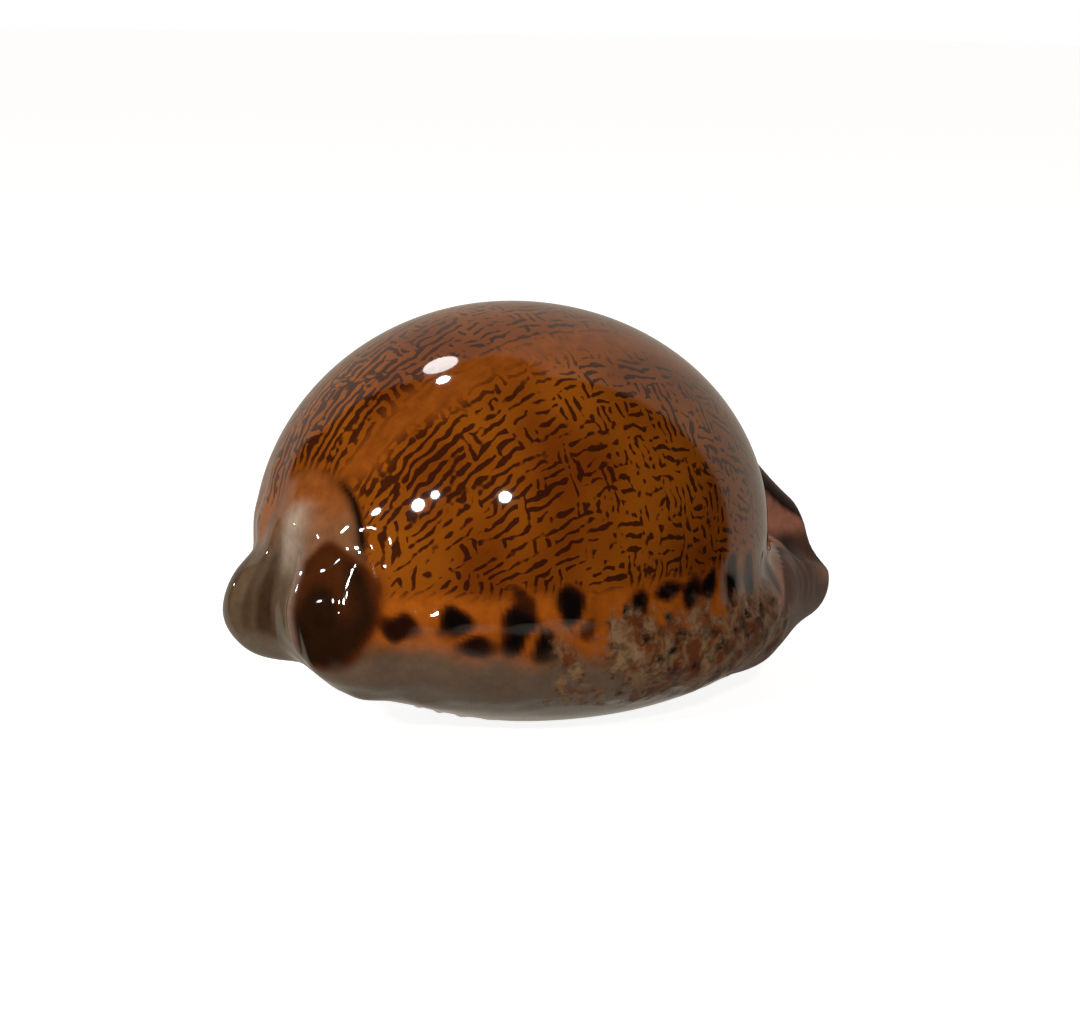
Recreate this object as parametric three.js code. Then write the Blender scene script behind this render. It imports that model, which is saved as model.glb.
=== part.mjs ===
// Cowrie shell, grown as one piece: a humped body whorl over a flattened base with a long toothed slot.
// Millimetres, +Z up, long axis on X. The posterior end is at -X and the outer (labral) lip is at -Y.
// The shell is one closed surface: it runs from the crown over the margins to the slot, round the lips
// and back up inside to the hollow's own crown.
import * as THREE from 'three';

// Body whorl, the hump: an ellipsoid whose reach differs to each end, above and below its widest level.
const hump = {
  centreX: -5.0,
  centreZ: 17.7,
  posterior: 27.9,
  anterior: 30.4,
  halfWidth: 24.6,
  above: 25.2,
  below: 17.8,
};

// Callus margin, a low ellipsoid round the foot of the hump whose ends rise off the ground.
const margin = { centreZ: 9.0, halfLength: 30.6, halfWidth: 23.9, halfHeight: 10.0, endRise: 5.2 };
const marginFront = { start: 8.0, run: 14.0 };
const endReach = 36.0;

// A round bar that tapers from one radius to the other. stretch makes it taller than it is wide.
const bar = (from, to, startRadius, endRadius, stretch) => ({ from, to, startRadius, endRadius, stretch });

// Limbs of the two extremities.
const posteriorLimbs = {
  hood: bar([-25.8, -3.0, 19.6], [-27.6, -4.0, 13.0], 7.6, 6.2, 1.0),
  flank: bar([-25.6, 0.4, 23.4], [-30.4, 4.6, 13.5], 4.6, 3.9, 1.0),
  labralLobe: bar([-16.0, -11.5, 14.0], [-28.0, -7.4, 12.4], 6.0, 5.3, 1.25),
  columellarLobe: bar([-18.0, 9.6, 13.0], [-31.6, 6.2, 11.8], 6.5, 3.9, 1.1),
};
const anteriorLimbs = {
  hood: bar([18.0, 0.0, 26.4], [32.4, -0.9, 15.3], 4.9, 3.6, 1.15),
  flank: bar([22.0, 0.0, 22.0], [30.0, 3.0, 12.0], 3.0, 3.0, 1.0),
  labralLobe: bar([18.0, -11.5, 8.8], [32.0, -5.1, 9.8], 4.8, 4.4, 1.1),
  columellarLobe: bar([18.0, 10.0, 12.5], [29.6, 5.6, 10.6], 6.5, 4.3, 1.1),
};

// Scoop out of the anterior extremity's labral side, between its hood and its lobe.
const scoop = bar([22.0, -8.4, 20.5], [35.0, -7.6, 14.6], 4.6, 3.2, 1.0);

// Canals, the grooves that the slot opens into between the lobes.
const posteriorCanal = bar([-38.0, -1.0, 9.0], [-31.0, -0.4, -1.0], 1.6, 3.4, 1.0);
const anteriorCanal = bar([44.0, 0.0, 6.0], [27.0, 0.0, -3.0], 2.8, 3.8, 1.0);

// Rounding where one form runs into the next: tight where the hood leaves the hump, soft at the margin.
const blend = {
  margin: 4.0,
  marginFront: 1.5,
  lobes: 2.0,
  hood: 4.0,
  crease: 0.8,
  foot: 5.0,
  canal: 1.6,
  base: 1.0,
  scoop: 0.8,
};
const creaseLevel = { posterior: 21.0, anterior: 12.0 };
const footDrop = 8.0;

// Base: slightly hollowed across, flat on the ground in the middle, rising towards both ends.
const base = { sag: 0.9, sideRise: 1.7, halfWidth: 18.0, flatReach: 8.0, riseReach: 28.0 };

// Slot: a curved ellipse-ended ring in plan. edgeHalf is where the lips begin to turn in.
const slot = { centreX: -0.5, halfLength: 26.5, edgeHalf: 5.0, squareness: 0.6, bow: 1.2, bowReach: 31.0 };
const lip = { crestBulge: 1.75, grooveBulge: 1.25, edgeGroove: 0.35 };
const teethPerLip = 28;

// Hollow: an ellipsoid inside the hump, and a channel over the slot that runs out towards the canals.
const hollow = { posterior: 25.3, anterior: 27.4, halfWidth: 22.2, above: 23.0, below: 13.4 };
const channel = bar([-26.0, 0.0, 9.5], [24.0, 0.0, 9.5], 4.2, 4.0, 1.0);
const channelBlend = 3.0;

// Spine inside the hollow that every point of the surface is measured out from.
const spine = { centreX: -3.0, halfLength: 22.0, z: 14.0 };
const turnShare = 0.52;

// Mesh: two columns for each tooth, and rows from crown to slot, round the lip and up inside.
const columns = 4 * teethPerLip;
const outerRows = 20;
const lipRows = 4;
const innerRows = 11;
const evenShare = 0.55;
const traceSteps = 80;
const traceGain = 0.75;
const groundSnap = 0.002;

const clamp = (value, low, high) => Math.min(Math.max(value, low), high);
const mix = (a, b, share) => a + (b - a) * share;
const ease = (share) => share * share * (3 - 2 * share);

function smoothMin(a, b, radius) {
  const share = clamp(0.5 + (0.5 * (b - a)) / radius, 0, 1);
  return mix(b, a, share) - radius * share * (1 - share);
}

function smoothMax(a, b, radius) {
  return -smoothMin(-a, -b, radius);
}

// Near-distance to an ellipsoid about the origin.
function ellipsoidDistance(x, y, z, a, b, c) {
  const scaled = Math.hypot(x / a, y / b, z / c);
  const slope = Math.hypot(x / (a * a), y / (b * b), z / (c * c));
  return (scaled * (scaled - 1)) / Math.max(slope, 1e-9);
}

// Near-distance to a bar, whose radius eases from one end's to the other's.
function barDistance(x, y, z, { from, to, startRadius, endRadius, stretch }) {
  const dx = to[0] - from[0];
  const dy = to[1] - from[1];
  const dz = (to[2] - from[2]) / stretch;
  const px = x - from[0];
  const py = y - from[1];
  const pz = (z - from[2]) / stretch;
  const along = clamp((px * dx + py * dy + pz * dz) / (dx * dx + dy * dy + dz * dz), 0, 1);
  const radius = mix(startRadius, endRadius, ease(along));
  return Math.hypot(px - along * dx, py - along * dy, pz - along * dz) - radius;
}

// The hump's outside or, given the hollow's sizes, its inside.
function humpDistance(x, y, z, { posterior, anterior, halfWidth, above, below }) {
  const halfLength = x > hump.centreX ? anterior : posterior;
  const halfHeight = z > hump.centreZ ? above : below;
  return ellipsoidDistance(x - hump.centreX, y, z - hump.centreZ, halfLength, halfWidth, halfHeight);
}

function marginDistance(x, y, z) {
  const centreZ = margin.centreZ + margin.endRise * (x / endReach) ** 2;
  const { halfLength, halfWidth, halfHeight } = margin;
  return ellipsoidDistance(x, y, z - centreZ, halfLength, halfWidth, halfHeight);
}

function extremityDistance(x, y, z, end) {
  const labral = barDistance(x, y, z, end.labralLobe);
  const columellar = barDistance(x, y, z, end.columellarLobe);
  const lobes = smoothMin(labral, columellar, blend.lobes);
  const hood = smoothMin(barDistance(x, y, z, end.hood), barDistance(x, y, z, end.flank), blend.hood);
  return smoothMax(smoothMin(lobes, hood, blend.hood), -barDistance(x, y, z, scoop), blend.scoop);
}

// How far a point lies under the shell's sole, which is level in the middle and rises to the ends.
function underSole(x, y, z) {
  const endRise = margin.endRise * (Math.max(Math.abs(x) - base.flatReach, 0) / base.riseReach) ** 2;
  const sideRise = base.sag * base.sideRise * (y / base.halfWidth) ** 2;
  return endRise + sideRise - base.sag - z;
}

// Outside of the shell, below zero within it.
function outerDistance(x, y, z) {
  const front = ease(clamp((x - marginFront.start) / marginFront.run, 0, 1));
  const marginBlend = mix(blend.margin, blend.marginFront, front);
  let distance = smoothMin(humpDistance(x, y, z, hump), marginDistance(x, y, z), marginBlend);
  const level = x < 0 ? creaseLevel.posterior : creaseLevel.anterior;
  const low = clamp((level - z) / footDrop, 0, 1);
  const endBlend = mix(blend.crease, blend.foot, ease(low));
  for (const end of [posteriorLimbs, anteriorLimbs]) {
    distance = smoothMin(distance, extremityDistance(x, y, z, end), endBlend);
  }
  for (const canal of [posteriorCanal, anteriorCanal]) {
    distance = smoothMax(distance, -barDistance(x, y, z, canal), blend.canal);
  }
  distance = smoothMax(distance, underSole(x, y, z), blend.base);
  return Math.max(distance, -z);
}

// Inside of the shell, below zero within the hollow.
function innerDistance(x, y, z) {
  return smoothMin(humpDistance(x, y, z, hollow), barDistance(x, y, z, channel), channelBlend);
}

// Unit ring that stays wide along the slot and closes round at its ends.
function slotNormal(angle) {
  const side = Math.sin(angle);
  return [Math.cos(angle), Math.sign(side) * Math.abs(side) ** slot.squareness];
}

function slotPoint(angle, half) {
  const [nx, ny] = slotNormal(angle);
  const x = slot.centreX + slot.halfLength * Math.cos(angle) + half * nx;
  const y = slot.bow * ((x / slot.bowReach) ** 2 - 1) + half * ny;
  return new THREE.Vector3(x, y, 0);
}

// Start on the spine and direction of the ray at one angle round the shell. turn runs from 0 at the
// crown, past the widest level at turnShare, to 1 at the edge of the slot.
function rayAt(angle, turn) {
  const cos = Math.cos(angle);
  const sin = Math.sin(angle);
  const fromCrown = clamp(turn / turnShare, 0, 1) * (Math.PI / 2);
  const flat = Math.sin(fromCrown);
  const start = new THREE.Vector3(spine.centreX + spine.halfLength * cos * flat, 0, spine.z);
  if (turn <= turnShare) {
    return { start, direction: new THREE.Vector3(flat * cos, flat * sin, Math.cos(fromCrown)) };
  }
  const outward = new THREE.Vector3(cos, sin, 0);
  const toSlot = slotPoint(angle, slot.edgeHalf).sub(start).normalize();
  const swing = outward.angleTo(toSlot);
  const share = (turn - turnShare) / (1 - turnShare);
  const direction = outward.multiplyScalar(Math.sin((1 - share) * swing));
  return { start, direction: direction.addScaledVector(toSlot, Math.sin(share * swing)).normalize() };
}

// First point of the ray that lies on the surface.
function trace({ start, direction }, distanceAt) {
  const point = start.clone();
  for (let step = 0; step < traceSteps; step += 1) {
    point.addScaledVector(direction, -traceGain * distanceAt(point.x, point.y, point.z));
  }
  if (Math.abs(point.z) < groundSnap) point.z = 0;
  return point;
}

// Angle of a column: part even round the shell, part even along the slot.
function columnAngle(column) {
  const half = columns / 2;
  const share = (column % half) / half;
  const turn = mix(Math.acos(1 - 2 * share), share * Math.PI, evenShare);
  return turn + (column < half ? 0 : Math.PI);
}

function lipPoint(outer, inner, angle, share, crest) {
  const [nx, ny] = slotNormal(angle);
  const round = Math.sqrt(1 - (2 * share - 1) ** 2);
  const bulge = round * (crest ? lip.crestBulge : lip.grooveBulge);
  const point = outer.clone().lerp(inner, share);
  point.x -= bulge * nx;
  point.y -= bulge * ny;
  return point;
}

// All points of one column, from the crown's first row to the hollow's last.
function columnPoints(column) {
  const angle = columnAngle(column);
  const crest = column % 2 === 0;
  const points = [];
  for (let row = 1; row <= outerRows; row += 1) {
    points.push(trace(rayAt(angle, row / outerRows), outerDistance));
  }
  const outer = points[outerRows - 1];
  const inner = trace(rayAt(angle, 1), innerDistance);
  for (let row = 1; row <= lipRows; row += 1) {
    points.push(lipPoint(outer, inner, angle, row / (lipRows + 1), crest));
  }
  for (let row = 0; row < innerRows; row += 1) {
    points.push(trace(rayAt(angle, 1 - row / innerRows), innerDistance));
  }
  if (!crest) outer.z += lip.edgeGroove;
  return points;
}

function gridTriangles(rows) {
  const triangles = [];
  const crown = 0;
  const floor = 1 + rows * columns;
  const at = (row, column) => 1 + row * columns + (column % columns);
  for (let column = 0; column < columns; column += 1) {
    triangles.push(crown, at(0, column), at(0, column + 1));
    for (let row = 0; row < rows - 1; row += 1) {
      triangles.push(at(row, column), at(row + 1, column), at(row + 1, column + 1));
      triangles.push(at(row, column), at(row + 1, column + 1), at(row, column + 1));
    }
    triangles.push(floor, at(rows - 1, column + 1), at(rows - 1, column));
  }
  return triangles;
}

function shellGeometry() {
  const byColumn = Array.from({ length: columns }, (_, column) => columnPoints(column));
  const rows = outerRows + lipRows + innerRows;
  const points = [trace(rayAt(0, 0), outerDistance)];
  for (let row = 0; row < rows; row += 1) {
    byColumn.forEach((column) => points.push(column[row]));
  }
  points.push(trace(rayAt(0, 0), innerDistance));
  const geometry = new THREE.BufferGeometry().setFromPoints(points);
  geometry.setIndex(gridTriangles(rows));
  geometry.computeBoundingBox();
  const middle = geometry.boundingBox.getCenter(new THREE.Vector3());
  geometry.translate(-middle.x, -middle.y, 0);
  geometry.computeVertexNormals();
  return geometry;
}

const glazedShell = new THREE.MeshStandardMaterial({ color: '#8f5420', roughness: 0.12, metalness: 0.0 });
const shell = new THREE.Mesh(shellGeometry(), glazedShell);
shell.name = 'cowrie_shell';

const cowrie = new THREE.Group();
cowrie.add(shell);

export default cowrie;
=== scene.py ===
import math

import bpy
import numpy as np
from mathutils import Matrix, Vector


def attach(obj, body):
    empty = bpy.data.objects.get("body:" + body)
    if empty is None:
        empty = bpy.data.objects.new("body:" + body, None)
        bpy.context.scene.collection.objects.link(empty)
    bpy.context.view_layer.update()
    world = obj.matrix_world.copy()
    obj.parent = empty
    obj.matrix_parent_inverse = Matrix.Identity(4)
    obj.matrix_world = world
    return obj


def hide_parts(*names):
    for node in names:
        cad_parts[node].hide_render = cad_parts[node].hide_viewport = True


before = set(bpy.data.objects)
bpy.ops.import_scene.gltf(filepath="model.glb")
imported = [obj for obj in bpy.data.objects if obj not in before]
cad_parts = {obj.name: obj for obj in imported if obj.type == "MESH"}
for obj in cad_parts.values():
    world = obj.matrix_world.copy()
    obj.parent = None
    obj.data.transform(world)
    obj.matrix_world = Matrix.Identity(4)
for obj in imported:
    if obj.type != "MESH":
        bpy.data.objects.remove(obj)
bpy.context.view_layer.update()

millimetre = 0.001


def linearColour(hexColour):
    # sRGB hex to linear RGBA: each channel undoes the display curve
    channels = [int(hexColour[i:i + 2], 16) / 255 for i in (1, 3, 5)]
    return tuple(c / 12.92 if c <= 0.04045 else ((c + 0.055) / 1.055) ** 2.4 for c in channels) + (1.0,)


def addNode(tree, kind, settings, inputs):
    # adds one node; an input is a fixed value or another node's output, and goes by its name, or by
    # its number where a node has several of the same name
    node = tree.nodes.new("ShaderNode" + kind)
    for name, value in settings.items():
        setattr(node, name, value)
    for socket, value in inputs.items():
        if isinstance(value, bpy.types.NodeSocket):
            tree.links.new(value, node.inputs[socket])
        else:
            node.inputs[socket].default_value = value
    return node.outputs


def mix(a, b, share):
    # straight blend: a where share is 0, b where it is 1
    return a + (b - a) * share


def ease(share):
    # smooth step: 0 below 0, 1 above 1, three s squared less two s cubed between
    share = np.clip(share, 0.0, 1.0)
    return share * share * (3 - 2 * share)


def between(value, start, end):
    # eased rise from 0 at start to 1 at end, or a fall when end is the lower
    return ease((value - start) / (end - start))


def plateau(value, first, firstFull, lastFull, last):
    # eased rise from first to firstFull, then 1, then an eased fall from lastFull to last
    return between(value, first, firstFull) * between(value, last, lastFull)


def bell(value, middle, half):
    # e to the minus squared distance from middle, in units of half
    return np.exp(-((value - middle) / half) ** 2)


# the shell, in millimetres: X from posterior to anterior end, the labral lip and near lobes at -Y
shellForm = {
    "humpCentre": (-5.0, 17.7),                  # x and z
    "hump": (27.9, 30.4, 24.6, 25.2, 17.8),      # reach to -X and +X, half width, reach up and down
    "hollow": (25.3, 27.4, 22.2, 23.0, 13.4),    # the same for the wall's inner side
    "channel": ((-26.0, 0.0, 9.5), (24.0, 0.0, 9.5), 4.2, 4.0, 1.0),    # hollow over the slot
    "channelBlend": 3.0,
    "margin": {"z": 9.0, "size": (30.6, 23.9, 10.0), "endRise": 5.2, "reach": 36.0,
               "frontStart": 8.0, "frontRun": 14.0},
    # bars at each end: start, end, radius at start and end, stretch in height
    "posterior": (
        ((-16.0, -11.5, 14.0), (-28.0, -7.4, 12.4), 6.0, 5.3, 1.25),    # labral lobe
        ((-18.0, 9.6, 13.0), (-31.6, 6.2, 11.8), 6.5, 3.9, 1.1),        # columellar lobe
        ((-25.8, -3.0, 19.6), (-27.6, -4.0, 13.0), 7.6, 6.2, 1.0),      # hood
        ((-25.6, 0.4, 23.4), (-30.4, 4.6, 13.5), 4.6, 3.9, 1.0),        # flank, hood to columellar lobe
    ),
    "anterior": (        # the same four
        ((18.0, -11.5, 8.8), (32.0, -5.1, 9.8), 4.8, 4.4, 1.1),
        ((18.0, 10.0, 12.5), (29.6, 5.6, 10.6), 6.5, 4.3, 1.1),
        ((18.0, 0.0, 26.4), (32.4, -0.9, 15.3), 4.9, 3.6, 1.15),
        ((22.0, 0.0, 22.0), (30.0, 3.0, 12.0), 3.0, 3.0, 1.0),
    ),
    "scoop": ((22.0, -8.4, 20.5), (35.0, -7.6, 14.6), 4.6, 3.2, 1.0),    # between anterior hood and lobe
    "canals": (
        ((-38.0, -1.0, 9.0), (-31.0, -0.4, -1.0), 1.6, 3.4, 1.0),
        ((44.0, 0.0, 6.0), (27.0, 0.0, -3.0), 2.8, 3.8, 1.0),
    ),
    # radius of each soft join
    "blend": {"margin": 4.0, "marginFront": 1.5, "lobes": 2.0, "hood": 4.0, "crease": 0.8,
              "foot": 5.0, "canal": 1.6, "base": 1.0, "scoop": 0.8},
    "crease": {"posterior": 21.0, "anterior": 12.0, "drop": 8.0},
    "base": {"sag": 0.9, "sideRise": 1.7, "halfWidth": 18.0, "flatReach": 8.0, "riseReach": 28.0},
    "slot": {"x": -0.5, "halfLength": 26.5, "edgeHalf": 5.0, "squareness": 0.6,
             "bow": 1.2, "bowReach": 31.0},
    "lip": {"crest": 1.75, "groove": 1.25, "edgeGroove": 0.35},
    "toothFade": (0.9, 1.0),    # share of the way to the slot over which the base's grooves come up
    "teeth": 56,                # both lips together
    "spine": {"x": -3.0, "halfLength": 22.0, "z": 14.0},    # rays start on this line
    "turnShare": 0.52,          # share of the rows above the widest level
    "evenShare": 0.55,          # 0 packs the columns at the two ends, 1 sets them at even angles
    "columns": 448,             # eight to a tooth
    "outerRows": 150,
    "lipRows": 22,
    "innerRows": 40,
    "mapHeights": (0.0, 0.74, 0.84, 1.0),    # of crown, slot's edge, lip's inside and roof in the map
    "mapEdge": 0.005,
    "traceSteps": 70,
    "traceGain": 0.75,          # share of the distance left that each step covers
}


def smoothMin(a, b, radius):
    # the lesser of two distances with the corner between them rounded off
    share = np.clip(0.5 + 0.5 * (b - a) / radius, 0, 1)
    return mix(b, a, share) - radius * share * (1 - share)


def smoothMax(a, b, radius):
    # the greater of two, rounded off the same way
    return -smoothMin(-a, -b, radius)


def ellipsoidDistance(x, y, z, a, b, c):
    # near-distance: scaled length times (scaled length - 1) over its own slope
    scaled = np.sqrt((x / a) ** 2 + (y / b) ** 2 + (z / c) ** 2)
    slope = np.sqrt((x / a ** 2) ** 2 + (y / b ** 2) ** 2 + (z / c ** 2) ** 2)
    return scaled * (scaled - 1) / np.maximum(slope, 1e-9)


def barDistance(x, y, z, start, end, startRadius, endRadius, stretch):
    # distance to a round bar whose radius eases from one end's to the other's
    dx, dy, dz = end[0] - start[0], end[1] - start[1], (end[2] - start[2]) / stretch
    px, py, pz = x - start[0], y - start[1], (z - start[2]) / stretch
    along = np.clip((px * dx + py * dy + pz * dz) / (dx * dx + dy * dy + dz * dz), 0, 1)
    radius = mix(startRadius, endRadius, ease(along))
    return np.sqrt((px - along * dx) ** 2 + (py - along * dy) ** 2 + (pz - along * dz) ** 2) - radius


def humpDistance(x, y, z, size):
    # an ellipsoid with its own reach to each end, and its own up and down
    centreX, centreZ = shellForm["humpCentre"]
    halfLength = np.where(x > centreX, size[1], size[0])
    halfHeight = np.where(z > centreZ, size[3], size[4])
    return ellipsoidDistance(x - centreX, y, z - centreZ, halfLength, size[2], halfHeight)


def limbDistance(x, y, z, limbs):
    # two lobes joined softly, then the hood and its flank over them, less the scoop
    labral, columellar, hood, flank = (barDistance(x, y, z, *limb) for limb in limbs)
    blend = shellForm["blend"]
    lobes = smoothMin(labral, columellar, blend["lobes"])
    whole = smoothMin(lobes, smoothMin(hood, flank, blend["hood"]), blend["hood"])
    return smoothMax(whole, -barDistance(x, y, z, *shellForm["scoop"]), blend["scoop"])


def outerDistance(x, y, z):
    # the hump and its margin, the limbs at both ends, less the canals and all that lies
    # under the sole, whose level goes up with the square of the distance to sides and ends
    blend, edge, base = shellForm["blend"], shellForm["margin"], shellForm["base"]
    edgeZ = z - edge["z"] - edge["endRise"] * (x / edge["reach"]) ** 2
    front = ease((x - edge["frontStart"]) / edge["frontRun"])
    distance = smoothMin(humpDistance(x, y, z, shellForm["hump"]),
                         ellipsoidDistance(x, y, edgeZ, *edge["size"]),
                         mix(blend["margin"], blend["marginFront"], front))
    crease = shellForm["crease"]
    low = ease((np.where(x < 0, crease["posterior"], crease["anterior"]) - z) / crease["drop"])
    endBlend = mix(blend["crease"], blend["foot"], low)
    for limbs in (shellForm["posterior"], shellForm["anterior"]):
        distance = smoothMin(distance, limbDistance(x, y, z, limbs), endBlend)
    for canal in shellForm["canals"]:
        distance = smoothMax(distance, -barDistance(x, y, z, *canal), blend["canal"])
    endRise = edge["endRise"] * (np.maximum(np.abs(x) - base["flatReach"], 0) / base["riseReach"]) ** 2
    sideRise = base["sag"] * base["sideRise"] * (y / base["halfWidth"]) ** 2
    distance = smoothMax(distance, endRise + sideRise - base["sag"] - z, blend["base"])
    return np.maximum(distance, -z)


def innerDistance(x, y, z):
    # the hollow of the hump joined to the channel over the slot
    return smoothMin(humpDistance(x, y, z, shellForm["hollow"]),
                     barDistance(x, y, z, *shellForm["channel"]), shellForm["channelBlend"])


def slotNormal(angle):
    # the slot's outward direction: cosine along the shell, and across it a squared-off sine
    side = np.sin(angle)
    return np.cos(angle), np.sign(side) * np.abs(side) ** shellForm["slot"]["squareness"]


def traceRays(angle, turn, distanceAt):
    # Each point starts on the spine and moves out along its ray by the distance left to the surface.
    # turn runs from 0 at the crown, past the widest level at turnShare, to 1 at the slot's edge.
    spine, slot = shellForm["spine"], shellForm["slot"]
    angle, turn = np.broadcast_arrays(angle, turn)
    cos, sin = np.cos(angle), np.sin(angle)
    fromCrown = np.clip(turn / shellForm["turnShare"], 0, 1) * (math.pi / 2)
    flat = np.sin(fromCrown)
    start = np.stack([spine["x"] + spine["halfLength"] * cos * flat, 0 * cos, spine["z"] + 0 * cos])
    upper = np.stack([flat * cos, flat * sin, np.cos(fromCrown)])
    nx, ny = slotNormal(angle)
    slotX = slot["x"] + slot["halfLength"] * cos + slot["edgeHalf"] * nx
    slotY = slot["bow"] * ((slotX / slot["bowReach"]) ** 2 - 1) + slot["edgeHalf"] * ny
    toSlot = np.stack([slotX, slotY, 0 * cos]) - start
    toSlot /= np.sqrt((toSlot ** 2).sum(axis=0))
    outward = np.stack([cos, sin, 0 * cos])
    swing = np.arccos(np.clip((outward * toSlot).sum(axis=0), -1, 1))
    share = np.clip((turn - shellForm["turnShare"]) / (1 - shellForm["turnShare"]), 0, 1)
    lower = outward * np.sin((1 - share) * swing) + toSlot * np.sin(share * swing)
    lower /= np.sqrt((lower ** 2).sum(axis=0))
    direction = np.where(turn <= shellForm["turnShare"], upper, lower)
    point = start.copy()
    for _ in range(shellForm["traceSteps"]):
        point -= shellForm["traceGain"] * distanceAt(*point) * direction
    return point


def shellGrid():
    # Columns go round the shell and rows from crown to slot, round the lip and up inside. A point is
    # where the ray of its column's angle and row's turn ends, and on the lips a blend of both edges.
    columns, teeth = shellForm["columns"], shellForm["teeth"]
    share = np.arange(columns // 2) / (columns // 2)
    half = mix(np.arccos(1 - 2 * share), share * math.pi, shellForm["evenShare"])
    angle = np.concatenate([half, half + math.pi])[None, :]
    crest = 0.5 + 0.5 * np.cos(2 * math.pi * teeth * np.arange(columns) / columns)[None, :]
    outerTurn = (np.arange(1, shellForm["outerRows"] + 1) / shellForm["outerRows"])[:, None]
    innerTurn = 1 - (np.arange(shellForm["innerRows"]) / shellForm["innerRows"])[:, None]
    outer = traceRays(angle, outerTurn, outerDistance)
    inner = traceRays(angle, innerTurn, innerDistance)
    lip = shellForm["lip"]
    across = (np.arange(1, shellForm["lipRows"] + 1) / (shellForm["lipRows"] + 1))[:, None]
    nx, ny = slotNormal(angle)
    bulge = np.sqrt(1 - (2 * across - 1) ** 2) * mix(lip["groove"], lip["crest"], crest)
    lips = mix(outer[:, -1:, :], inner[:, :1, :], across)
    lips[0] -= bulge * nx
    lips[1] -= bulge * ny
    # grooves between the teeth run a little way out over the base
    edgeFade = between(outerTurn, *shellForm["toothFade"])
    outer[2] += lip["edgeGroove"] * (1 - crest) * edgeFade
    rows = np.concatenate([outer, lips, inner], axis=1)
    crown = traceRays(np.zeros((1, 1)), np.zeros((1, 1)), outerDistance)[:, 0, 0]
    roof = traceRays(np.zeros((1, 1)), np.zeros((1, 1)), innerDistance)[:, 0, 0]
    return rows, crown, roof, crest


rows, crown, roof, crest = shellGrid()
middle = (rows[:2].reshape(2, -1).min(axis=1) + rows[:2].reshape(2, -1).max(axis=1)) / 2
print("shell grid", rows.shape[1], "rows by", rows.shape[2], "columns")


def gentleNoise(place, size, seed, waves=24):
    # sum of plane waves in random directions, mostly within -1..1; size is the wavelength
    draw = np.random.default_rng(seed)
    direction = draw.normal(size=(waves, 3))
    direction /= np.linalg.norm(direction, axis=1)[:, None]
    rate = 2 * math.pi / (size * draw.uniform(0.75, 1.5, waves))
    phase = draw.uniform(0, 2 * math.pi, waves)
    total = 0
    for i in range(waves):
        total = total + np.sin(rate[i] * np.tensordot(direction[i], place, 1) + phase[i])
    return total / math.sqrt(waves / 2)


def bumps(place, size, height, seed):
    # gentle noise of one wavelength, height and seed
    return height * gentleNoise(place, size, seed)


reliefForm = {
    "slopeStep": 0.05,                     # the surface's normal is taken across this much
    "ridge": (-3.7, 0.55, 0.35),           # pale rib down the posterior end: y, half width, height
    "ridgeSpan": (8.0, 10.0, 18.5, 20.5),
    "ridgeEnd": -28.0,
    "foldCentre": (23.5, -12.0, 11.0),     # the anterior wrinkles curve round this point
    "foldGap": 1.7,
    "foldHeight": 0.2,
    "foldSway": (0.35, 0.9),               # how far the wrinkles sway, and radians per millimetre up
    "foldReach": (3.0, 4.2, 5.5, 9.5),     # distances from the centre where they start and end
    "foldFront": (22.5, 25.0),
    "foldFoot": (8.0, 12.0),
    "foldSide": 1.0,
    "wave": (5.0, 0.1, 21),                # unevenness of the callus margin: wavelength, height, seed
    "waveHeights": (2.0, 5.0, 15.0, 19.0),
    "waveBack": (-28.0, -30.5),
    "waveFront": (24.0, 16.0),
    "roll": (14.4, 1.05, 0.42),            # low roll along the margin: z, half height, swell
    "rollSpan": (-29.5, -27.0, -14.0, -6.0),
    "lump": (3.5, 0.07, 23),               # on the roll and near posterior lobe, breaks up highlights
    "lumpBack": (-26.5, -29.0),
    "lumpSide": (0.0, -5.0),
    "lumpTop": (25.0, 21.5),
    "pit": (1.7, 0.06, 22),                # the worn patch
}


def ribShape(x, y, z):
    # 1 along the rib between the posterior lobes, 0 away from it: a bell across y
    ridgeY, ridgeHalf, _ = reliefForm["ridge"]
    return bell(y, ridgeY, ridgeHalf) * (x < reliefForm["ridgeEnd"]) * plateau(z, *reliefForm["ridgeSpan"])


def foldWave(x, y, z):
    # 1 on each wrinkle and 0 between: a raised cosine of the distance from the centre that fades out
    form = reliefForm
    centre, (sway, rate) = form["foldCentre"], form["foldSway"]
    reach = np.sqrt((x - centre[0]) ** 2 + (y - centre[1]) ** 2 + (z - centre[2]) ** 2)
    wave = 0.5 + 0.5 * np.cos(2 * math.pi * (reach + sway * np.sin(rate * z)) / form["foldGap"])
    fade = between(x, *form["foldFront"]) * between(z, *form["foldFoot"]) * (y < form["foldSide"])
    return wave * plateau(reach, *form["foldReach"]) * fade


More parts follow.
